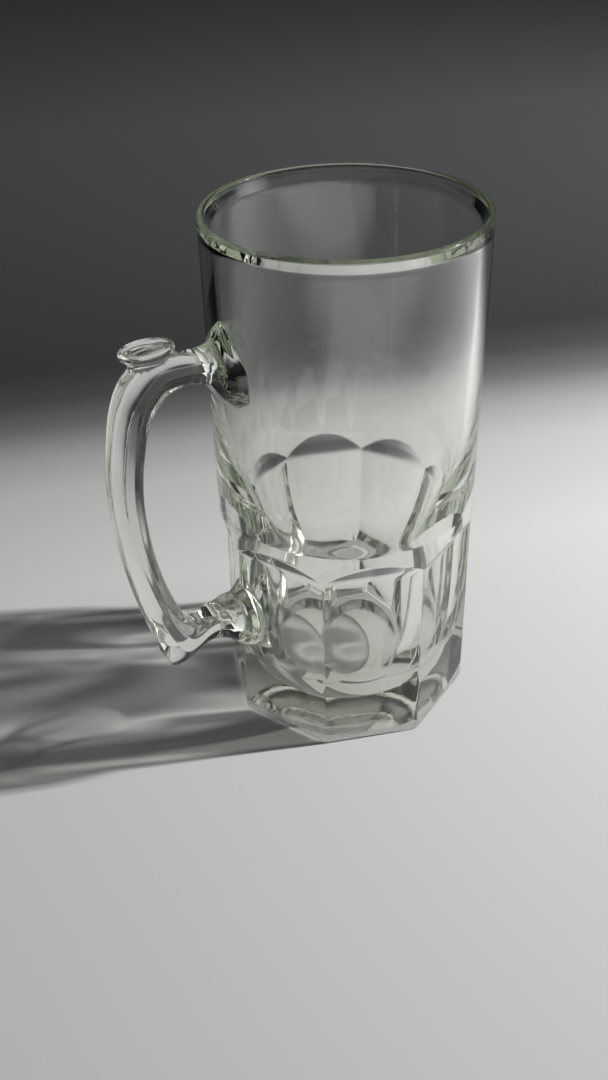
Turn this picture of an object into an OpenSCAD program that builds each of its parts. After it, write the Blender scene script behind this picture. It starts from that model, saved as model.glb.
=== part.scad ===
// Pressed glass beer mug: a tall round bowl whose lower part is pressed into eight flat, arch-topped
// panels over a thick foot, and a bar handle with a thumb rest, fused on at a pad and at a root.
// Millimetres. The origin is the centre of the foot's underside on the bowl's axis, +Z is up,
// and the handle stands out towards -X, over one of the ridges between the panels.

/* [Bowl] */
// Height from the table to the top of the rim
mug_h = 203; // [185:1:225]
// Outer radius just under the rim
rim_r = 49.9; // [47:0.1:53]
// Outer radius of the round body just above the panels
body_r = 50.1; // [48.8:0.1:52]
// How much wider than that the round is which softens the ridges at the foot
foot_flare = 0.3; // [0:0.1:1.5]
// Wall of the round body at the rim
rim_wall = 4.1; // [3:0.1:5.5]
// Width of the rounded bead that the wall ends in
rim_bead_w = 2.5; // [1.6:0.1:3]
// Height over which the inside slopes from the full wall out to that bead
rim_slope_h = 4.4; // [2:0.1:8]
// Wall of the round body halfway up, measured to the round outside
mid_wall = 5.2; // [4:0.1:6.5]
// Wall at the top of the panels, measured to the round outside
shoulder_wall = 9.8; // [8:0.1:11.5]

/* [Panels] */
// Number of flat panels round the bowl
panels = 8; // [8:1:8]
// Depth of a flat at the foot, in from the round body
foot_inset = 3.3; // [1.5:0.1:5]
// Depth of a flat at its top, in from the round body
shoulder_inset = 4.2; // [2.5:0.1:5.5]
// Height where the flats end and the sloping coves begin
shoulder_z = 80.8; // [65:0.1:95]
// Height of a cove from the flat to the top of its arch
cove_rise = 7.8; // [5:0.1:12]

/* [Base] */
// Thickness of solid glass from the table to the middle of the bowl's floor
floor_thick = 9; // [6.5:0.5:20]
// How square the well under the panels' tops is: 2 makes it half an ellipse, and more makes it squarer
well_square = 4.2; // [3:0.1:6]
// Width of the flat ring that the mug stands on, between the recess and the edge of a panel
foot_ring_w = 4.0; // [2.5:0.1:20]
// Depth of the recess at its middle
recess_depth = 0.9; // [0.4:0.1:4]
// Bevel round the edge of the foot
foot_bevel = 1.2; // [0.5:0.1:2.5]

/* [Handle bar] */
// Furthest reach of the handle from the bowl's axis
handle_reach = 97.1; // [86:0.1:110]
// Height of the middle of the upper pad
upper_root_z = 160.6; // [150:0.1:175]
// Height of the middle of the lower root
lower_root_z = 51; // [44:0.1:58]
// Thickness of the bar halfway down, from its outer to its inner face
bar_thick = 10.1; // [8:0.1:12]
// Width of the bar halfway down, across its side faces
bar_w = 14.2; // [11:0.1:17]
// Height of the pad where the upper arm is fused to the bowl
pad_h = 28.6; // [22:0.1:32]
// Width of that pad
pad_w = 25; // [19:0.1:30]
// Height of the root where the lower arm is fused to the bowl
root_h = 29.6; // [22:0.1:34]
// Width of that root
root_w = 21; // [16:0.1:27]

/* [Thumb rest] */
// Length of the oval thumb rest, away from the bowl
thumb_l = 19.4; // [15:0.1:24]
// Width of the oval thumb rest
thumb_w = 13.5; // [11:0.1:18]
// Height of its top face over the middle of the bar
thumb_rise = 11.1; // [9.5:0.1:13]
// Thickness of its lip
thumb_lip = 2.8; // [1.8:0.1:3.6]

/* [Hidden] */
round_steps = 128;
overrun = 1;
glass = [0.80, 0.87, 0.84, 0.55];
handle_glass = [0.72, 0.82, 0.79, 0.65];

panel_turn = 360 / panels;
arc_step = 15;
well_step = 7.5;
foot_r = body_r + foot_flare;
foot_flat = body_r - foot_inset;
shoulder_flat = body_r - shoulder_inset;
arch_top = shoulder_z + cove_rise;
recess_r = foot_flat - foot_bevel - foot_ring_w;
reach_span = handle_reach - bar_thick / 2 - body_r;
root_span = upper_root_z - lower_root_z;

// Point at t between rows i and i + 1 of a table, on the smooth curve through all its rows
function on_curve(rows, i, t) =
    let (a = rows[max(i - 1, 0)], b = rows[i], c = rows[i + 1], d = rows[min(i + 2, len(rows) - 1)])
    (2 * b + (c - a) * t + (2 * a - 5 * b + 4 * c - d) * t * t + (3 * b - a - 3 * c + d) * t * t * t) / 2;

// All the points of that curve, with so many steps between two rows
function curve(rows, steps) = [
    for (i = [0 : len(rows) - 2], s = [0 : steps - 1]) on_curve(rows, i, s / steps),
    rows[len(rows) - 1]
];

// Closed solid through a list of rings that hold the same number of points
module skin(rings) {
    count = len(rings[0]);
    last = len(rings) - 1;
    points = [for (ring = rings) each ring];
    sides = [
        for (i = [0 : last - 1], j = [0 : count - 1])
            let (a = i * count + j, b = i * count + (j + 1) % count)
            each [[a, a + count, b], [b, a + count, b + count]]
    ];
    first_cap = [for (j = [0 : count - 1]) j];
    last_cap = [for (j = [count - 1 : -1 : 0]) last * count + j];
    polyhedron(points, concat(sides, [first_cap, last_cap]), convexity = 6);
}

// Outer radius of the round body at a height above the panels
function outside_r(z) = body_r + (rim_r - body_r) * (z - arch_top) / (mug_h - rim_bead_w / 2 - arch_top);

// Round outside of the bowl, from the foot up to the fire-polished rim
module round_outside() {
    rotate_extrude($fn = round_steps) polygon(concat(
        [[0, 0], [foot_r - foot_bevel, 0], [foot_r, foot_bevel], [body_r, arch_top]],
        rim_arc(0, arc_step, 90),
        [[0, mug_h]]
    ));
}

// Points round the rim's bead between two angles, where 0 is its outermost point and 90 its top
function rim_arc(from, step, to) = [
    for (a = [from : step : to])
        [rim_r + (cos(a) - 1) * rim_bead_w / 2, mug_h + (sin(a) - 1) * rim_bead_w / 2]
];

// What the press takes off one side: the flat panel and the sloping cove above it
module panel_cut() {
    flat_slope = (shoulder_flat - foot_flat) / shoulder_z;
    cove_slope = shoulder_inset / cove_rise;
    outline = [
        [foot_flat - foot_bevel, -overrun],
        [foot_flat - foot_bevel, 0],
        [foot_flat + flat_slope * foot_bevel, foot_bevel],
        [shoulder_flat, shoulder_z],
        [body_r + cove_slope * overrun, arch_top + overrun],
        [foot_r + shoulder_inset, arch_top + overrun],
        [foot_r + shoulder_inset, -overrun]
    ];
    rotate([90, 0, 0]) linear_extrude(2 * body_r, center = true) polygon(outline);
}

// Solid outside of the bowl, which the handle is fused to
module bowl_outside() {
    difference() {
        round_outside();
        for (k = [0 : panels - 1]) rotate(panel_turn * (k + 1 / 2)) panel_cut();
    }
}

// Height of the row of the wall that mid_wall is measured at, as a share of the mug's
mid_height_share = 0.6;

// Cavity: a deep well that rounds over into the floor, a wall that thins going up, and at the rim a
// slope out to the bead and the inner half of the bead itself
module cavity() {
    well_r = body_r - shoulder_wall;
    well_depth = arch_top - floor_thick;
    mid_z = mug_h * mid_height_share;
    bend = 2 / well_square;
    well = [
        for (a = [90 : -well_step : 0])
            [well_r * pow(cos(a), bend), arch_top - well_depth * pow(sin(a), bend)]
    ];
    wall_rows = [
        [well_r, arch_top],
        [outside_r(mid_z) - mid_wall, mid_z],
        [rim_r - rim_wall, mug_h - rim_bead_w / 2 - rim_slope_h]
    ];
    rotate_extrude($fn = round_steps) polygon(concat(
        well,
        [for (p = curve(wall_rows, 6)) if (p[1] > arch_top) p],
        rim_arc(180, -arc_step, 90),
        [[rim_r - rim_bead_w / 2, mug_h + overrun], [0, mug_h + overrun]]
    ));
}

// Shallow dish under the foot, part of one large sphere
module recess() {
    dish_r = (recess_r * recess_r + recess_depth * recess_depth) / (2 * recess_depth);
    translate([0, 0, recess_depth - dish_r]) sphere(dish_r, $fn = round_steps);
}

module bowl() {
    color(glass) difference() {
        bowl_outside();
        cavity();
        recess();
    }
}

// Bar from the pad down to the root. Each row: reach from the bowl and height between the two roots,
// as shares, the way its outer face looks (90 is up, 0 is away from the bowl), then thickness, width,
// how far its side faces lie towards the inner face, and how round the section is, as shares.
pad_thick_share = pad_h / bar_thick;
pad_width_share = pad_w / bar_w;
root_thick_share = root_h / bar_thick;
root_width_share = root_w / bar_w;
bar_shares = [
    [-0.20, 0.994, 90, pad_thick_share, pad_width_share, 0, 1],
    [0.00, 0.994, 90, pad_thick_share * 0.98, pad_width_share * 0.98, 0, 1],
    [0.09, 1.002, 90, pad_thick_share * 0.60, pad_width_share * 0.64, 0, 0.6],
    [0.20, 1.011, 90, 1.13, 0.92, 0, 0.1],
    [0.36, 1.022, 89, 0.99, 0.90, 0, 0],
    [0.54, 1.027, 80, 1.15, 0.99, 0, 0],
    [0.66, 1.019, 68, 1.35, 1.07, 0.03, 0],
    [0.80, 0.972, 56, 1.39, 1.09, 0.05, 0],
    [0.88, 0.914, 42, 1.27, 1.08, 0.06, 0],
    [0.93, 0.843, 25, 1.14, 1.06, 0.06, 0],
    [0.98, 0.741, 9, 1.07, 1.03, 0.06, 0],
    [1.00, 0.630, 0, 1.02, 1.00, 0.06, 0],
    [0.99, 0.524, -5, 1.02, 1.00, 0.06, 0],
    [0.96, 0.410, -9, 1.03, 0.99, 0.06, 0],
    [0.90, 0.283, -12, 1.10, 0.98, 0.06, 0],
    [0.82, 0.165, -20, 1.22, 0.97, 0.07, 0],
    [0.74, 0.075, -37, 1.46, 0.96, 0.12, 0],
    [0.65, 0.003, -56, 1.98, 0.95, 0.20, 0],
    [0.55, -0.005, -65, 1.76, 0.94, 0.27, 0],
    [0.43, 0.015, -72, 1.33, 0.93, 0.31, 0],
    [0.31, 0.022, -79, 1.24, 0.95, 0.31, 0.05],
    [0.18, 0.018, -86, root_thick_share * 0.57, root_width_share * 0.70, 0.22, 0.3],
    [0.07, 0.008, -89, root_thick_share * 0.79, root_width_share * 0.86, 0.10, 0.7],
    [-0.01, 0.000, -90, root_thick_share * 0.98, root_width_share * 0.98, 0, 1],
    [-0.20, 0.000, -90, root_thick_share, root_width_share, 0, 1]
];

// Half of the bar's section from its outer face to its inner one, as shares of thickness and width,
// with how much of the side faces' shift each point takes
section_shares = [
    [0.50, 0.28, 0], [0.47, 0.48, 0], [0.32, 0.92, 1], [0.24, 1.00, 1],
    [0.02, 1.00, 1], [-0.06, 0.95, 1], [-0.43, 0.74, 0], [-0.50, 0.46, 0]
];
section_count = len(section_shares);

// How much narrower than its middle the pad is at its top, where the soft glass sank away
pad_sag_share = 0.45;

// Point j of a section, going round it: across the thickness, then across the width
function section_point(j, side_shift, round_share, sag) =
    let (
        side = j < section_count ? 1 : -1,
        row = section_shares[j < section_count ? j : 2 * section_count - 1 - j],
        turn = 180 * (j + 1 / 2) / section_count
    )
    [
        (row[0] - row[2] * side_shift) * (1 - round_share) + cos(turn) / 2 * round_share,
        (side * row[1] * (1 - round_share) + sin(turn) * (1 - sag * cos(turn)) * round_share) / 2
    ];

// Middle of the bar at one row of shares, in the plane of the handle: reach and height
function bar_middle(row) = [body_r + row[0] * reach_span, lower_root_z + row[1] * root_span];

module bar() {
    rings = [
        for (row = curve(bar_shares, 3))
            let (
                middle = bar_middle(row),
                round_share = max(0, min(1, row[6])),
                sag = pad_sag_share * max(0, sin(row[2])),
                thick = row[3] * bar_thick,
                width = row[4] * bar_w
            )
            [
                for (j = [0 : 2 * section_count - 1])
                    let (share = section_point(j, row[5], round_share, sag), across = share[0] * thick)
                    [
                        -middle[0] - cos(row[2]) * across,
                        share[1] * width,
                        middle[1] + sin(row[2]) * across
                    ]
            ]
    ];
    skin(rings);
}

// Oval disc with a rounded lip on a narrower neck, on the bend at the top of the bar, over one of
// its rows. Each row here: size of the oval as a share, height under the top face in lips.
thumb_shares = [
    [0.66, -3.2], [0.74, -1.6], [0.84, -1.1], [0.95, -0.95],
    [1.00, -0.7], [1.00, -0.35], [0.95, -0.1], [0.86, 0]
];
thumb_row = 6;
module thumb_rest() {
    steps = 32;
    seat = bar_middle(bar_shares[thumb_row]);
    rings = [
        for (row = thumb_shares) [
            for (s = [0 : steps - 1])
                let (turn = 360 * s / steps)
                [
                    cos(turn) * row[0] * thumb_l / 2 - seat[0],
                    sin(turn) * row[0] * thumb_w / 2,
                    seat[1] + thumb_rise + row[1] * thumb_lip
                ]
        ]
    ];
    skin(rings);
}

module handle() {
    color(handle_glass) difference() {
        union() {
            bar();
            thumb_rest();
        }
        bowl_outside();
    }
}

bowl();
handle();
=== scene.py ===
import math

import bmesh
import bpy
import numpy as np
from mathutils import Euler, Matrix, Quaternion, Vector
from mathutils.bvhtree import BVHTree


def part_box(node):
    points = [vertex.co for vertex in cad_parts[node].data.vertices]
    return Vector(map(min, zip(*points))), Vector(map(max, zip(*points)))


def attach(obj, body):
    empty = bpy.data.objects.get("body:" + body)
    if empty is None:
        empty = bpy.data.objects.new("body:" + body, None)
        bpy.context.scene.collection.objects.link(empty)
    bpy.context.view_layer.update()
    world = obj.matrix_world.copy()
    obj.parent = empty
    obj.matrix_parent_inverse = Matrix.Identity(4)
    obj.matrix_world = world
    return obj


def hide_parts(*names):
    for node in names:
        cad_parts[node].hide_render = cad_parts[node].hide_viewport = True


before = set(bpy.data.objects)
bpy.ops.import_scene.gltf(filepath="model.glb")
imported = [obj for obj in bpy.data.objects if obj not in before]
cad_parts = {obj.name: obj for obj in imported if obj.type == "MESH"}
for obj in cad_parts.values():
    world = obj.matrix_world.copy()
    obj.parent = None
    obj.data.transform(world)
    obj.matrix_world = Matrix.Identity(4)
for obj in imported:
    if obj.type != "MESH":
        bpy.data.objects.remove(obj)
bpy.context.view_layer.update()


# Bowl: one pressed body of clear soda-lime glass, with a round inside, eight arched flats round its
# lower half, a heavy foot and a rim that a flame has melted into a bead. Its profile is spun, and the
# flats are then pressed into the spun body, as the mould does it.
_, bowl_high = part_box("bowl")
mug_h = bowl_high.z
foot_r = bowl_high.y
foot_flare = 0.0003
body_r = foot_r - foot_flare
rim_taper = 0.0002
rim_r = body_r - rim_taper
rim_wall = 0.0041
bead_w = 0.0025
bead_h = bead_w / 2
lip_h = bead_h + 0.0044
mid_height_share = 0.6
mid_wall = 0.0052
shoulder_wall = 0.0098
panels = 8
foot_inset = 0.0033
foot_flat = body_r - foot_inset
shoulder_inset = 0.0042
shoulder_flat = body_r - shoulder_inset
shoulder_z = 0.0808
cove_rise = 0.0078
arch_top = shoulder_z + cove_rise
floor_thick = 0.009
well_square = 4.2
foot_round = 0.0012
foot_ring_w = 0.004
recess_r = foot_flat - foot_round - foot_ring_w
recess_depth = 0.0009
arch_fade = 0.018


class Wire:
    """A node's output. Python's operators on it add Math nodes, and node() adds any other node."""

    def __init__(self, tree, socket=None):
        self.tree = tree
        self.socket = socket

    def node(self, kind, settings=None, inputs=None, output=0):
        made = self.tree.nodes.new(kind)
        for name, value in (settings or {}).items():
            if name == "stops":
                ramp = made.color_ramp.elements
                while len(ramp) < len(value):
                    ramp.new(1.0)
                for stop, (place, colour) in zip(ramp, value):
                    stop.position = place
                    stop.color = colour
            else:
                setattr(made, name, value)
        for name, value in (inputs or {}).items():
            if isinstance(value, Wire):
                self.tree.links.new(value.socket, made.inputs[name])
            else:
                made.inputs[name].default_value = value
        return Wire(self.tree, made.outputs[output] if len(made.outputs) else None)

    def also(self, output):
        return Wire(self.tree, self.socket.node.outputs[output])

    def math(self, operation, *others):
        return self.node("ShaderNodeMath", {"operation": operation}, dict(enumerate((self,) + others)))

    def swapped(self, operation, other):
        return self.node("ShaderNodeMath", {"operation": operation}, {0: other, 1: self})

    def __add__(self, other):
        return self.math("ADD", other)

    def __radd__(self, other):
        return self.swapped("ADD", other)

    def __sub__(self, other):
        return self.math("SUBTRACT", other)

    def __rsub__(self, other):
        return self.swapped("SUBTRACT", other)

    def __mul__(self, other):
        return self.math("MULTIPLY", other)

    def __rmul__(self, other):
        return self.swapped("MULTIPLY", other)

    def __truediv__(self, other):
        return self.math("DIVIDE", other)

    def __rtruediv__(self, other):
        return self.swapped("DIVIDE", other)

    def __pow__(self, other):
        return self.math("POWER", other)

    def __gt__(self, other):
        return self.math("GREATER_THAN", other)


def curve(rows, steps, closed=False):
    """The smooth curve through the rows of a table, with so many steps from one row to the next."""
    rows = np.array(rows, float)
    count = len(rows)
    spans = count if closed else count - 1
    places = [(i, s / steps) for i in range(spans) for s in range(steps)]
    if not closed:
        places.append((spans - 1, 1.0))
    made = []
    for i, t in places:
        around = range(i - 1, i + 3)
        a, b, c, d = (rows[k % count if closed else min(max(k, 0), count - 1)] for k in around)
        cubic = (2 * a - 5 * b + 4 * c - d) * t ** 2 + (3 * b - a - 3 * c + d) * t ** 3
        made.append((2 * b + (c - a) * t + cubic) / 2)
    return np.array(made)


def outside_r(z):
    """Outer radius of the round body before the flats are pressed in."""
    if z < arch_top:
        return foot_r + (body_r - foot_r) * z / arch_top
    return body_r + (rim_r - body_r) * (z - arch_top) / (mug_h - bead_h - arch_top)


def bowl_profile():
    """Rows of radius, height, 1 if the mould shapes it, share of an arch's fall, and edge round."""
    rows = []
    for s in np.linspace(0, 1, 9):
        rows.append((s * recess_r, recess_depth * (1 - s * s), 1, 0, foot_round))
    for s in (0.3, 0.6, 0.85):
        rows.append((recess_r + s * (foot_flat - foot_round - recess_r), 0, 1, 0, foot_round))
    for turn in np.radians(np.linspace(-90, 0, 7)):
        inset = foot_round * (1 - math.cos(turn))
        rows.append((foot_r - inset, foot_round * (1 + math.sin(turn)), 1, 0, inset))
    near_edge = [-0.0016, -0.0011, -0.0007, -0.0004, -0.0002, 0, 0.0002, 0.0004, 0.0007, 0.0011, 0.0016]
    low_gap = 0.002
    cove_gap = 0.0024
    high_gap = 0.0022
    heights = list(np.arange(foot_round + low_gap, shoulder_z - 0.003, low_gap))
    heights += [shoulder_z + step for step in near_edge]
    heights += list(np.linspace(shoulder_z + cove_gap, arch_top - cove_gap, 5))
    heights += [arch_top + step for step in near_edge]
    heights += list(np.arange(arch_top + 0.0032, mug_h - bead_h - 0.001, high_gap))
    for z in heights:
        rise = (z - shoulder_z) / cove_rise
        fall = (arch_top + arch_fade - z) / arch_fade
        rows.append((outside_r(z), z, 1, max(0, min(rise, fall, 1)), 0))
    for turn in np.radians(np.linspace(0, 180, 21)):
        bead_r = rim_r - bead_w / 2 + math.cos(turn) * bead_w / 2
        rows.append((bead_r, mug_h - bead_h + math.sin(turn) * bead_h, 0, 0, 0))
    for s in np.linspace(0, 1, 7)[1:]:
        slope_r = rim_r - bead_w - s * (rim_wall - bead_w)
        rows.append((slope_r, mug_h - bead_h - s * (lip_h - bead_h), 0, 0, 0))
    mid_z = mug_h * mid_height_share
    wall = [
        (rim_r - rim_wall, mug_h - lip_h),
        (outside_r(mid_z) - mid_wall, mid_z),
        (body_r - shoulder_wall, arch_top),
    ]
    rows += [(r, z, 0, 0, 0) for r, z in curve(wall, steps=24)[1:]]
    for turn in np.radians(np.linspace(0, 90, 49)[1:]):
        across = max(0, math.cos(turn)) ** (2 / well_square)
        down = math.sin(turn) ** (2 / well_square)
        well_z = arch_top - (arch_top - floor_thick) * down
        rows.append(((body_r - shoulder_wall) * across, well_z, 0, 0, 0))
    return np.array(rows)


def profile_object(name, rows):
    """The profile as a chain of edges, with what the pressing needs to know kept on its points."""
    mesh = bpy.data.meshes.new(name)
    points = [(r, 0, z) for r, z, *_ in rows]
    mesh.from_pydata(points, [(i, i + 1) for i in range(len(points) - 1)], [])
    for column, word in ((2, "mould"), (3, "arch_fall"), (4, "edge_round")):
        kept = mesh.attributes.new(word, "FLOAT", "POINT")
        kept.data.foreach_set("value", rows[:, column].astype(np.float32))
    made = bpy.data.objects.new(name, mesh)
    bpy.context.scene.collection.objects.link(made)
    return made


def pressing_tree(material):
    """Spins the profile into a body and presses the flats into it. Every size is a named input."""
    tree = bpy.data.node_groups.new("pressed_bowl", "GeometryNodeTree")
    tree.interface.new_socket("Geometry", in_out="INPUT", socket_type="NodeSocketGeometry")
    for word, kind in (
        ("Panels", "NodeSocketInt"),
        ("Columns", "NodeSocketInt"),
        ("Body Radius", "NodeSocketFloat"),
        ("Foot Flat", "NodeSocketFloat"),
        ("Shoulder Flat", "NodeSocketFloat"),
        ("Shoulder Height", "NodeSocketFloat"),
        ("Cove Rise", "NodeSocketFloat"),
        ("Soft Edge", "NodeSocketFloat"),
        ("Soft Shoulder", "NodeSocketFloat"),
        ("Ripple", "NodeSocketFloat"),
    ):
        tree.interface.new_socket(word, in_out="INPUT", socket_type=kind)
    tree.interface.new_socket("Geometry", in_out="OUTPUT", socket_type="NodeSocketGeometry")
    profile = Wire(tree).node("NodeGroupInput")
    rows = profile.node("GeometryNodeAttributeDomainSize", {"component": "MESH"}, {"Geometry": profile})
    per_panel = profile.also("Columns")
    columns = profile.also("Panels") * per_panel + 1
    sheet = profile.node("GeometryNodeMeshGrid", {}, {"Vertices X": columns, "Vertices Y": rows})
    index = profile.node("GeometryNodeInputIndex")
    column = ((index + 0.5) / rows).math("FLOOR")
    row = index - column * rows

    def along(value, kind="FLOAT"):
        wires = {"Geometry": profile, "Value": value, "Index": row}
        return profile.node("GeometryNodeSampleIndex", {"data_type": kind, "domain": "POINT"}, wires)

    def kept(word):
        return profile.node("GeometryNodeInputNamedAttribute", {"data_type": "FLOAT"}, {"Name": word})

    place = along(profile.node("GeometryNodeInputPosition"), "FLOAT_VECTOR")
    place = place.node("ShaderNodeSeparateXYZ", {}, {0: place})
    radius = place
    height = place.also("Z")
    mould = along(kept("mould"))
    fall = along(kept("arch_fall"))
    inset = along(kept("edge_round"))

    half = math.pi / profile.also("Panels")
    step = column / per_panel
    panel = (step + 0.0001).math("FLOOR")
    across = (step - panel) * 2 - 1
    from_middle = across.math("ABSOLUTE").math("MINIMUM", 1)
    slant = half * (1 - (1 - from_middle) ** 1.6)
    turn = (panel * 2 + 1) * half + slant * across.math("SIGN")

    body = profile.also("Body Radius")
    shoulder = profile.also("Shoulder Flat")
    cove = profile.also("Cove Rise")
    soft = profile.also("Soft Edge")
    depth = body - shoulder
    lowered = cove * body * (1 - slant.math("COSINE")) / depth
    level = height - fall * lowered
    above = level - profile.also("Shoulder Height")
    lean = (shoulder - profile.also("Foot Flat")) / profile.also("Shoulder Height")
    flat = shoulder + above * lean
    hollow = shoulder + above * depth / cove
    pressed = flat.math("SMOOTH_MAX", hollow, profile.also("Soft Shoulder")) - inset
    near = pressed / slant.math("COSINE")
    beside = half * 2 - slant
    next_one = pressed / beside.math("COSINE")
    ridged = near.math("SMOOTH_MIN", next_one, soft * 1.5)
    squeezed = ridged.math("SMOOTH_MIN", radius, soft)
    outer = radius + mould * (squeezed - radius)

    spun = turn.math("COSINE")
    spin = turn.math("SINE")
    straight = profile.node("ShaderNodeCombineXYZ", {}, {0: spun * outer, 1: spin * outer, 2: level * 0.45})
    waves = {"Vector": straight, "Scale": 55.0, "Detail": 1.0, "Roughness": 0.4}
    wave = profile.node("ShaderNodeTexNoise", {"noise_dimensions": "3D"}, waves) - 0.5
    rippled = outer + wave * profile.also("Ripple") * (outer / body).math("MINIMUM", 1)
    spot = profile.node("ShaderNodeCombineXYZ", {}, {0: spun * rippled, 1: spin * rippled, 2: level})
    shape = sheet.node("GeometryNodeSetPosition", {}, {"Geometry": sheet, "Position": spot})
    shape = sheet.node("GeometryNodeMergeByDistance", {}, {"Geometry": shape, "Distance": 0.000002})
    shape = sheet.node("GeometryNodeSetShadeSmooth", {}, {"Geometry": shape, "Shade Smooth": True})
    shape = sheet.node("GeometryNodeRealizeInstances", {}, {"Geometry": shape})
    shape = sheet.node("GeometryNodeSetMaterial", {}, {"Geometry": shape, "Material": material})
    sheet.node("NodeGroupOutput", {}, {"Geometry": shape})
    return tree


def multiplied(colour, share, other):
    """A colour times another one, taken by a share."""
    wires = {0: share, 6: colour, 7: other}
    return colour.node("ShaderNodeMix", {"data_type": "RGBA", "blend_type": "MULTIPLY"}, wires, output=2)


underside_h = 0.0022
# The dark green of the painted shade on the glass's grazing edges, lip and bead.
painted_edge_shade_green = (0.10, 0.12, 0.08, 1.0)


def pressed_glass(name, tint, depth_of_tint):
    """Clear pressed glass: faint chill ripple and straw marks in its skin, light smears, green in depth,
    and painted shade of a dark green at its grazing edges, lip and bead. A shadow ray gets through in
    bright lines, as light does that the glass has gathered. Where a piece is fused to its neighbour there
    is no skin at all, which the attribute
    "fused" marks."""
    material = bpy.data.materials.new(name)
    material.use_nodes = True
    tree = material.node_tree
    tree.nodes.clear()
    place = Wire(tree).node("ShaderNodeTexCoord", output="Object")
    height = place.node("ShaderNodeSeparateXYZ", {}, {0: place}, output="Z")
    drawn = {"Vector": place, "Scale": (1.0, 1.0, 0.16)}
    upright = place.node("ShaderNodeMapping", {"vector_type": "POINT"}, drawn)
    straws = place.node("ShaderNodeTexNoise", {}, {"Vector": upright, "Scale": 140.0, "Detail": 2.0})
    chill = place.node("ShaderNodeTexNoise", {}, {"Vector": place, "Scale": 70.0, "Detail": 1.5})
    smears = place.node("ShaderNodeTexNoise", {}, {"Vector": place, "Scale": 38.0, "Detail": 5.0})
    under = 1 - (height > underside_h)
    pebbles = place.node("ShaderNodeTexNoise", {}, {"Vector": place, "Scale": 420.0, "Detail": 2.0})
    on_bead = height > mug_h - bead_h
    skin = straws * 0.5 + chill * 0.5 + under * pebbles * 1.6 + on_bead * pebbles * 0.6
    relief = {"Strength": 0.05, "Distance": 0.0006, "Height": skin}
    ripple = place.node("ShaderNodeBump", {}, relief)
    wiped = ((smears - 0.56) * 5.0).math("MAXIMUM", 0).math("MINIMUM", 1)
    shade = {"Factor": wiped, 6: tint, 7: tuple(0.97 * c for c in tint[:3]) + (1.0,)}
    colour = place.node("ShaderNodeMix", {"data_type": "RGBA"}, shade, output=2)
    grazing = place.node("ShaderNodeLayerWeight", {}, {"Blend": 0.5}, output="Facing")
    at_lip = height > mug_h - lip_h
    # Painted shade: the glass is darkened towards dark green where it is seen at a grazing angle, more so
    # at the lip, and all over the bead.
    painted_edge_shade_share = (grazing ** 5.0) * (0.35 + at_lip * 0.5)
    colour = multiplied(colour, painted_edge_shade_share.math("MAXIMUM", on_bead * 0.8), painted_edge_shade_green)
    fused = place.node("ShaderNodeAttribute", {"attribute_name": "fused"}, output="Fac")
    shadow = place.node("ShaderNodeLightPath", output="Is Shadow Ray")
    outward = place.node("ShaderNodeTexCoord", output="Normal")
    facing_up = outward.node("ShaderNodeSeparateXYZ", {}, {0: outward}, output="Z").math("ABSOLUTE")
    leaving = place.node("ShaderNodeNewGeometry", output="Backfacing")
    stretched = {"Vector": place, "Scale": (1.0, 1.0, 0.3)}
    streaks = place.node("ShaderNodeMapping", {"vector_type": "POINT"}, stretched)
    bends = {"Vector": streaks, "Scale": 34.0, "Detail": 1.0, "Distortion": 0.9}
    gathered = place.node("ShaderNodeTexNoise", {}, bends)
    line = 1 - ((gathered - 0.5).math("ABSOLUTE") * 9).math("MINIMUM", 1)
    entering = (0.31 + line * 0.69) * (1 - facing_up) + facing_up * 0.9
    let_through = shadow * (leaving + (1 - leaving) * entering) * (1 - grazing ** 4.0)
    glass = place.node("ShaderNodeBsdfPrincipled", {}, {
        "Base Color": colour,
        "Roughness": wiped * 0.035 + under * 0.07,
        "IOR": 1.52,
        "Transmission Weight": 1.0,
        "Alpha": (1 - (fused > 0)) * (1 - let_through),
        "Normal": ripple,
    })
    depth = place.node("ShaderNodeVolumeAbsorption", {}, {"Color": depth_of_tint, "Density": 9.0})
    place.node("ShaderNodeOutputMaterial", {}, {"Surface": glass, "Volume": depth})
    return material


clear = (0.995, 1.0, 0.985, 1.0)
bowl_glass = pressed_glass("clear_bowl_glass", clear, (0.76, 0.82, 0.68, 1.0))
bowl = profile_object("pressed_bowl", bowl_profile())
bowl_tree = pressing_tree(bowl_glass)
pressing = bowl.modifiers.new("pressing", "NODES")
pressing.node_group = bowl_tree
sizes = {
    "Panels": panels,
    "Columns": 40,
    "Body Radius": body_r,
    "Foot Flat": foot_flat,
    "Shoulder Flat": shoulder_flat,
    "Shoulder Height": shoulder_z,
    "Cove Rise": cove_rise,
    "Soft Edge": 0.0005,
    "Soft Shoulder": 0.0016,
    "Ripple": 0.00012,
}
for socket in bowl_tree.interface.items_tree:
    if socket.name in sizes:
        pressing[socket.identifier] = sizes[socket.name]


def made_mesh(piece):
    """Turns a piece with live modifiers into one with a plain mesh."""
    graph = bpy.context.evaluated_depsgraph_get()
    mesh = bpy.data.meshes.new_from_object(piece.evaluated_get(graph), depsgraph=graph)
    piece.modifiers.clear()
    piece.data = mesh
    glass = [material for material in mesh.materials if material][0]
    mesh.materials.clear()
    mesh.materials.append(glass)
    mesh.polygons.foreach_set("material_index", np.zeros(len(mesh.polygons), np.int32))
    return piece


made_mesh(bowl)
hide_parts("bowl")
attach(bowl, "root")


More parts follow.
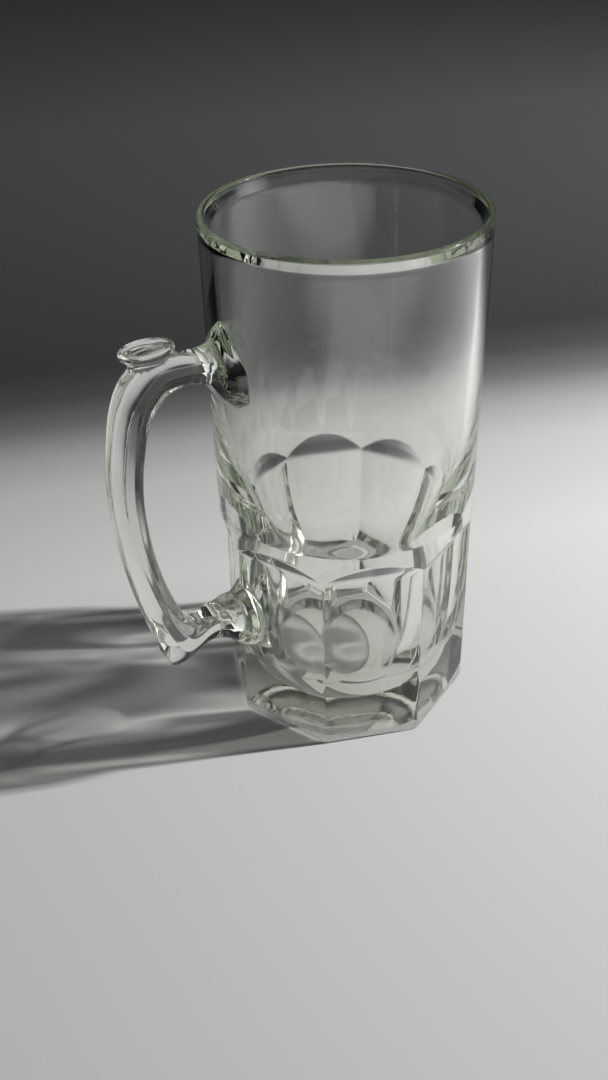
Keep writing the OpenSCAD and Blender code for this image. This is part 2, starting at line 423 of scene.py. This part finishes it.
# Handle: one pressed bar of the same glass with an oval thumb rest on its bend. It is taken hot from
# its own mould and squeezed onto the bowl, which leaves a lipped pad above and a flared root below.
handle_low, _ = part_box("handle")
curve_swing = 0.00012
handle_reach = -handle_low.x - curve_swing
bar_thick = 0.0101
bar_w = 0.0142
pad_h = 0.0286
pad_w = 0.025
root_h = 0.0296
root_w = 0.021
upper_root_z = 0.1606
lower_root_z = 0.051
thumb_l = 0.0194
thumb_w = 0.0135
thumb_rise = 0.0111
thumb_lip = 0.0028
thumb_row = 6
reach_span = handle_reach - bar_thick / 2 - body_r
root_span = upper_root_z - lower_root_z
pad_thick_share = pad_h / bar_thick
pad_width_share = pad_w / bar_w
root_thick_share = root_h / bar_thick
root_width_share = root_w / bar_w

# Each row: reach from the bowl and height between the roots, the way the outer face looks in degrees
# (90 is up), thickness, width, how far the side faces lie inwards, and how round the section is.
bar_shares = [
    [-0.20, 0.994, 90, pad_thick_share, pad_width_share, 0, 1],
    [0.00, 0.994, 90, pad_thick_share * 0.98, pad_width_share * 0.98, 0, 1],
    [0.09, 1.002, 90, pad_thick_share * 0.60, pad_width_share * 0.64, 0, 0.6],
    [0.20, 1.011, 90, 1.13, 0.92, 0, 0.1],
    [0.36, 1.022, 89, 0.99, 0.90, 0, 0],
    [0.54, 1.027, 80, 1.15, 0.99, 0, 0],
    [0.66, 1.019, 68, 1.35, 1.07, 0.03, 0],
    [0.80, 0.972, 56, 1.39, 1.09, 0.05, 0],
    [0.88, 0.914, 42, 1.27, 1.08, 0.06, 0],
    [0.93, 0.843, 25, 1.14, 1.06, 0.06, 0],
    [0.98, 0.741, 9, 1.07, 1.03, 0.06, 0],
    [1.00, 0.630, 0, 1.02, 1.00, 0.06, 0],
    [0.99, 0.524, -5, 1.02, 1.00, 0.06, 0],
    [0.96, 0.410, -9, 1.03, 0.99, 0.06, 0],
    [0.90, 0.283, -12, 1.10, 0.98, 0.06, 0],
    [0.82, 0.165, -20, 1.22, 0.97, 0.07, 0],
    [0.74, 0.075, -37, 1.46, 0.96, 0.12, 0],
    [0.65, 0.003, -56, 1.98, 0.95, 0.20, 0],
    [0.55, -0.005, -65, 1.76, 0.94, 0.27, 0],
    [0.43, 0.015, -72, 1.33, 0.93, 0.31, 0],
    [0.31, 0.022, -79, 1.24, 0.95, 0.31, 0.05],
    [0.18, 0.018, -86, root_thick_share * 0.57, root_width_share * 0.70, 0.22, 0.3],
    [0.07, 0.008, -89, root_thick_share * 0.79, root_width_share * 0.86, 0.10, 0.7],
    [-0.01, 0.000, -90, root_thick_share * 0.98, root_width_share * 0.98, 0, 1],
    [-0.20, 0.000, -90, root_thick_share, root_width_share, 0, 1],
]
section_shares = [
    [0.50, 0.28, 0], [0.47, 0.48, 0], [0.32, 0.92, 1], [0.24, 1.00, 1],
    [0.02, 1.00, 1], [-0.06, 0.95, 1], [-0.43, 0.74, 0], [-0.50, 0.46, 0],
]
pad_sag_share = 0.45
section_steps = 4


def section(side_shift, round_share, sag):
    """Points round the bar's section, as shares: across its thickness, then across its width."""
    count = len(section_shares)
    points = []
    for j in range(2 * count):
        side = 1 if j < count else -1
        depth, width, shift = section_shares[j if j < count else 2 * count - 1 - j]
        turn = math.pi * (j + 0.5) / count
        across = (depth - shift * side_shift) * (1 - round_share) + math.cos(turn) / 2 * round_share
        rounded = math.sin(turn) * (1 - sag * math.cos(turn))
        points.append((across, (side * width * (1 - round_share) + rounded * round_share) / 2))
    return np.clip(curve(points, steps=section_steps, closed=True), -0.5, 0.5)


def bar_ring(row):
    """One ring of points round the bar."""
    reach, height, lean, thick, width, side_shift, round_share = row
    lean = math.radians(lean)
    sag = pad_sag_share * max(0, math.sin(lean))
    points = section(side_shift, max(0, min(1, round_share)), sag)
    across = points[:, 0] * thick * bar_thick
    x = -(body_r + reach * reach_span) - math.cos(lean) * across
    z = lower_root_z + height * root_span + math.sin(lean) * across
    return np.stack([x, points[:, 1] * width * bar_w, z], axis=1)


# Each row: distance from the bowl's face, size as a share of the whole seat, and how far the edge
# wanders from its oval, for the squeezed seats at the two ends of the bar.
pad_rows = [
    [0.0000, 0.985, 1.0], [0.0002, 1.015, 1.0], [0.0005, 1.030, 1.0], [0.0009, 1.015, 0.9],
    [0.0013, 0.980, 0.7], [0.0019, 0.955, 0.5], [0.0026, 0.930, 0.3], [0.0034, 0.860, 0.2],
    [0.0042, 0.760, 0.1], [0.0052, 0.650, 0.0],
]
root_rows = [
    [0.0000, 1.000, 1.0], [0.0002, 1.015, 1.0], [0.0005, 1.020, 0.9], [0.0009, 1.000, 0.8],
    [0.0015, 0.960, 0.6], [0.0023, 0.915, 0.4], [0.0033, 0.860, 0.2], [0.0045, 0.790, 0.1],
]
fused_gap = 0.00002
bowl_skin = BVHTree.FromObject(bowl, bpy.context.evaluated_depsgraph_get())


def bowl_face(y, z):
    """Where the bowl's outside lies behind a point of the handle."""
    place, *_ = bowl_skin.ray_cast(Vector((-handle_reach, y, z)), Vector((1, 0, 0)))
    return place.x


def seated(outline, stand_off, size, wander, wave):
    """A ring of a seat: the outline drawn in to its size, laid at one distance from the bowl."""
    middle = outline.mean(axis=0)
    turn = np.linspace(0, 2 * math.pi, len(outline), endpoint=False)
    lobes = sum(share * np.sin(count * turn + start) for count, share, start in wave)
    reach = size * (1 + wander * lobes)
    y = outline[:, 1] * reach
    z = middle[2] + (outline[:, 2] - middle[2]) * reach
    x = [bowl_face(a, b) - stand_off - fused_gap for a, b in zip(y, z)]
    return np.stack([x, y, z], axis=1)


pad_wave = [(2, 0.022, 0.6), (3, 0.018, 2.2), (5, 0.014, 4.0), (8, 0.010, 1.1), (13, 0.006, 2.9)]
root_wave = [(2, 0.015, 2.6), (3, 0.012, 0.4), (5, 0.010, 1.7), (9, 0.007, 3.3)]
inside_sizes = [0.06, 0.2, 0.4, 0.6, 0.8, 0.92]
bar_rows = curve(bar_shares, steps=8)
half_way = len(bar_rows) // 2
free_from_pad = 0.17
free_from_root = 0.16
free_rows = [row for row in bar_rows[:half_way] if row[0] > free_from_pad]
free_rows += [row for row in bar_rows[half_way:] if row[0] > free_from_root]
pad_outline = bar_ring(bar_shares[0])
root_outline = bar_ring(bar_shares[-1])
pad_face = [seated(pad_outline, 0, pad_rows[0][1] * size, size, pad_wave) for size in inside_sizes]
root_face = [seated(root_outline, 0, root_rows[0][1] * size, size, root_wave) for size in inside_sizes]
rings = pad_face + [seated(pad_outline, *row, pad_wave) for row in pad_rows]
rings += [bar_ring(row) for row in free_rows]
rings += [seated(root_outline, *row, root_wave) for row in root_rows[::-1]] + root_face[::-1]


def skinned(name, rings, material):
    """A closed mesh through rings of points, closed by a point at both ends."""
    count = len(rings[0])
    points = [tuple(p) for ring in rings for p in ring]
    points += [tuple(rings[0].mean(axis=0)), tuple(rings[-1].mean(axis=0))]
    faces = []
    last = (len(rings) - 1) * count
    for j in range(count):
        k = (j + 1) % count
        faces.append((len(points) - 2, k, j))
        faces.append((len(points) - 1, last + j, last + k))
    for i in range(len(rings) - 1):
        for j in range(count):
            k = (j + 1) % count
            faces.append((i * count + j, i * count + k, (i + 1) * count + k, (i + 1) * count + j))
    mesh = bpy.data.meshes.new(name)
    mesh.from_pydata(points, [], faces)
    mesh.materials.append(material)
    mesh.shade_smooth()
    made = bpy.data.objects.new(name, mesh)
    bpy.context.scene.collection.objects.link(made)
    return made


handle_glass = pressed_glass("clear_handle_glass", clear, (0.76, 0.82, 0.69, 1.0))
handle = skinned("bar_handle", rings, handle_glass)

# Each row: size as a share of the thumb rest, then height in lips from its top.
thumb_shares = [
    [0.50, -3.6], [0.62, -3.0], [0.70, -2.2], [0.77, -1.5], [0.86, -1.15], [0.94, -0.98], [0.985, -0.82],
    [1.00, -0.6], [1.00, -0.38], [0.98, -0.19], [0.94, -0.06], [0.89, 0.0], [0.83, -0.03],
    [0.74, -0.10], [0.60, -0.16], [0.40, -0.20], [0.20, -0.22], [0.05, -0.22],
]
thumb_sides = 72


def thumb_ring(size, height):
    """One oval of the thumb rest."""
    reach, rise, *_ = bar_shares[thumb_row]
    turn = np.linspace(0, 2 * math.pi, thumb_sides, endpoint=False)
    x = -(body_r + reach * reach_span) + np.cos(turn) * size * thumb_l / 2
    y = np.sin(turn) * size * thumb_w / 2
    z = lower_root_z + rise * root_span + thumb_rise + height * thumb_lip
    return np.stack([x, y, np.full(len(turn), z)], axis=1)


thumb_rings = [thumb_ring(size, height) for size, height in curve(thumb_shares, steps=3)]
thumb_rest = skinned("thumb_rest", thumb_rings, handle_glass)
for made in (handle, thumb_rest):
    whole = bmesh.new()
    whole.from_mesh(made.data)
    bmesh.ops.recalc_face_normals(whole, faces=whole.faces)
    whole.to_mesh(made.data)
    whole.free()
joining = handle.modifiers.new("joining", "BOOLEAN")
joining.operation = "UNION"
joining.solver = "EXACT"
joining.object = thumb_rest
made_mesh(handle)
bpy.data.objects.remove(thumb_rest)
handle.data.shade_smooth()

# Where the two are fused there is no surface to see. On the handle these are the faces that lie on the
# bowl, and on the bowl the points inside the two seats' outlines, each with how far inside it lies.
near_bowl = fused_gap * 2
not_fused = -0.005
seat_margin = 0.0001


def lies_on_bowl(corner):
    """True for a point of the handle that touches the bowl's outside."""
    if abs(corner.y) >= pad_w or corner.x <= -body_r - bar_thick:
        return False
    return bowl_face(corner.y, corner.z) - corner.x < near_bowl


on_bowl = []
for face in handle.data.polygons:
    touching = all(lies_on_bowl(handle.data.vertices[v].co) for v in face.vertices)
    on_bowl.append(1.0 if touching else -1.0)
handle_fused = handle.data.attributes.new("fused", "FLOAT", "FACE")
handle_fused.data.foreach_set("value", np.array(on_bowl, np.float32))


def inside_by(outline, y, z):
    """How far inside an outline the points lie, measured from its middle outwards."""
    side, up = outline[:, 1], outline[:, 2] - outline[:, 2].mean()
    turn = np.arctan2(up, side)
    order = np.argsort(turn)
    point_turn = np.arctan2(z - outline[:, 2].mean(), y)
    edge = np.interp(point_turn, turn[order], np.hypot(side, up)[order], period=2 * math.pi)
    return edge - np.hypot(y, z - outline[:, 2].mean())


spots = np.array([v.co for v in bowl.data.vertices])
outer_from = np.where(spots[:, 2] > arch_top, body_r - mid_wall / 2, shoulder_flat - 0.0005)
outside = (spots[:, 0] < 0) & (np.hypot(spots[:, 0], spots[:, 1]) > outer_from)
inside = np.full(len(spots), not_fused)
for seat in (seated(pad_outline, *pad_rows[0], pad_wave), seated(root_outline, *root_rows[0], root_wave)):
    depth_in = inside_by(seat, spots[:, 1], spots[:, 2]) - seat_margin
    inside = np.where(outside, np.maximum(inside, depth_in), inside)
bowl_fused = bowl.data.attributes.new("fused", "FLOAT", "POINT")
bowl_fused.data.foreach_set("value", inside.astype(np.float32))
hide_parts("handle")
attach(handle, "root")


# Table: a pale matt surface that the mug stands on, with a painted pool of light round the mug and painted
# shade of dark grey further off, as in the photograph. Outside the photograph's frame it has painted shade
# on the left and a painted glow before the mug, which the camera sees only in the glass and through it.
table_r = 6.0
fade_heading = math.radians(67.4)
painted_shade_left_depth = 0.38
table_mesh = bpy.data.meshes.new("table")
corners = [(-table_r, -table_r, 0), (table_r, -table_r, 0), (table_r, table_r, 0), (-table_r, table_r, 0)]
table_mesh.from_pydata(corners, [], [(0, 1, 2, 3)])
table = bpy.data.objects.new("table", table_mesh)
bpy.context.scene.collection.objects.link(table)
table_paint = bpy.data.materials.new("pale_table")
table_paint.use_nodes = True
table_paint.node_tree.nodes.clear()
spot = Wire(table_paint.node_tree).node("ShaderNodeTexCoord", output="Object")


def measured(place, way):
    """How far a place, or another direction, reaches along a direction."""
    both = {0: place, 1: way}
    return place.node("ShaderNodeVectorMath", {"operation": "DOT_PRODUCT"}, both, output="Value")


def grey(share):
    """A neutral grey."""
    return (share, share, share, 1)


away = measured(spot, (math.cos(fade_heading), math.sin(fade_heading), 0))
aside = measured(spot, (math.sin(fade_heading), -math.cos(fade_heading), 0))
# Painted light and shade: a pale pool of light round the mug, which falls off to dark grey further off.
lit_pool = {"stops": [
    (0.393, (0.54, 0.54, 0.535, 1)),
    (0.54, (0.64, 0.64, 0.63, 1)),
    (0.585, (0.52, 0.52, 0.515, 1)),
    (0.605, grey(0.36)),
    (0.6225, (0.15, 0.15, 0.152, 1)),
    (0.64, (0.07, 0.07, 0.072, 1)),
    (0.66, (0.044, 0.044, 0.046, 1)),
    (0.95, (0.11, 0.11, 0.115, 1)),
]}
shade = spot.node("ShaderNodeValToRGB", lit_pool, {"Fac": away * 0.5 + 0.5})
# Painted shade: the table turns nearly black on the left, nearer than a set depth, and camera rays don't
# see it.
painted_shade_left = {"stops": [(0.165, grey(1)), (0.185, grey(0.4)), (0.22, grey(0.04))]}
dimmed = spot.node("ShaderNodeValToRGB", painted_shade_left, {"Fac": aside * -1})
seen = spot.node("ShaderNodeLightPath", output="Is Camera Ray")
shade = multiplied(shade, (1 - (away > painted_shade_left_depth)) * (1 - seen), dimmed)
# Painted light: the table glows before the mug, though it is no lamp; only gloss rays see it, and not on
# the far left.
painted_glow_stops = {"stops": [(0.32, grey(0)), (0.44, grey(0.9))]}
painted_glow = spot.node("ShaderNodeValToRGB", painted_glow_stops, {"Fac": away * -1})
not_far_left = {"stops": [(0.1, grey(0)), (0.2, grey(1))]}
mirrored = seen.also("Is Glossy Ray")
kept_in = spot.node("ShaderNodeValToRGB", not_far_left, {"Fac": (aside + 0.5) * mirrored})
matt = spot.node("ShaderNodeBsdfPrincipled", {}, {
    "Base Color": shade,
    "Roughness": 0.9,
    "Specular IOR Level": 0.1,
    "Emission Color": multiplied(painted_glow, 1.0, kept_in),
    "Emission Strength": 1.0,
})
spot.node("ShaderNodeOutputMaterial", {}, {"Surface": matt})
table_mesh.materials.append(table_paint)


# Light: one small strong lamp on the right, a little behind the mug, in a dim room with a bright window
# on the same side. The window lights the mug and shows in its gloss, but not in the picture's own
# background.
def way_to(azimuth, elevation):
    """The direction of a lamp or a window from the mug, both angles in degrees."""
    a = math.radians(azimuth)
    e = math.radians(elevation)
    return Vector((math.cos(a) * math.cos(e), math.sin(a) * math.cos(e), math.sin(e)))


key_distance = 1.4
key_way = way_to(-27, 34)
window_way = way_to(-36, 18)
key_data = bpy.data.lights.new("key", "AREA")
key_data.shape = "RECTANGLE"
key_data.size = 0.04
key_data.size_y = 0.05
key_data.energy = 30
key = bpy.data.objects.new("key", key_data)
bpy.context.scene.collection.objects.link(key)
key.location = Vector((0, 0, mug_h / 2)) + key_way * key_distance
key.rotation_mode = "QUATERNION"
key.rotation_quaternion = key_way.to_track_quat("Z", "Y")

world = bpy.data.worlds.new("room")
world.use_nodes = True
world.node_tree.nodes.clear()
look_way = Wire(world.node_tree).node("ShaderNodeTexCoord", output="Generated")
height = look_way.node("ShaderNodeSeparateXYZ", {}, {0: look_way}, output="Z")
room = {"stops": [
    (0.0, grey(0.010)),
    (0.3, (0.025, 0.025, 0.024, 1)),
    (0.5, grey(0.02)),
    (0.6, grey(0.05)),
    (0.75, (0.30, 0.30, 0.29, 1)),
    (0.95, grey(0.20)),
]}
glow = look_way.node("ShaderNodeValToRGB", room, {"Fac": height})
window_edge = 0.93
looked_at = look_way.node("ShaderNodeVectorMath", {"operation": "NORMALIZE"}, {0: look_way})
in_window = ((measured(looked_at, window_way) - window_edge).math("MAXIMUM", 0) * 14) ** 1.5
seen = look_way.node("ShaderNodeLightPath", output="Is Camera Ray")
in_window = in_window * (1 - seen) * (1 - seen.also("Is Transmission Ray"))
glow = glow.node("ShaderNodeMix", {"data_type": "RGBA"}, {0: in_window, 6: glow, 7: grey(3.6)}, output=2)
on_matt = seen.also("Is Diffuse Ray")
lit = look_way.node("ShaderNodeBackground", {}, {"Color": glow, "Strength": 1 - on_matt * 0.8})
look_way.node("ShaderNodeOutputWorld", {}, {"Surface": lit})
bpy.context.scene.world = world

# Camera: at the photograph's place, looking down at the mug with the handle on the left.
camera_data = bpy.data.cameras.new("camera")
camera_data.lens = 35.917
camera_data.sensor_width = 36.0
camera_data.clip_start = 0.01
camera = bpy.data.objects.new("camera", camera_data)
bpy.context.scene.collection.objects.link(camera)
camera.location = (-0.20777, -0.29077, 0.32172)
heading = math.radians(57.15)
pitch = math.radians(-35.55)
roll = math.radians(-1.554)
camera.rotation_mode = "QUATERNION"
aimed = Euler((math.pi / 2 + pitch, 0, heading - math.pi / 2)).to_quaternion()
camera.rotation_quaternion = aimed @ Quaternion((0, 0, 1), roll)
bpy.context.scene.camera = camera

bpy.context.scene.view_settings.view_transform = "Standard"
bpy.context.scene.cycles.caustics_refractive = False
bpy.context.scene.cycles.caustics_reflective = False
bpy.context.scene.cycles.max_bounces = 24
bpy.context.scene.cycles.glossy_bounces = 16
bpy.context.scene.cycles.transmission_bounces = 24
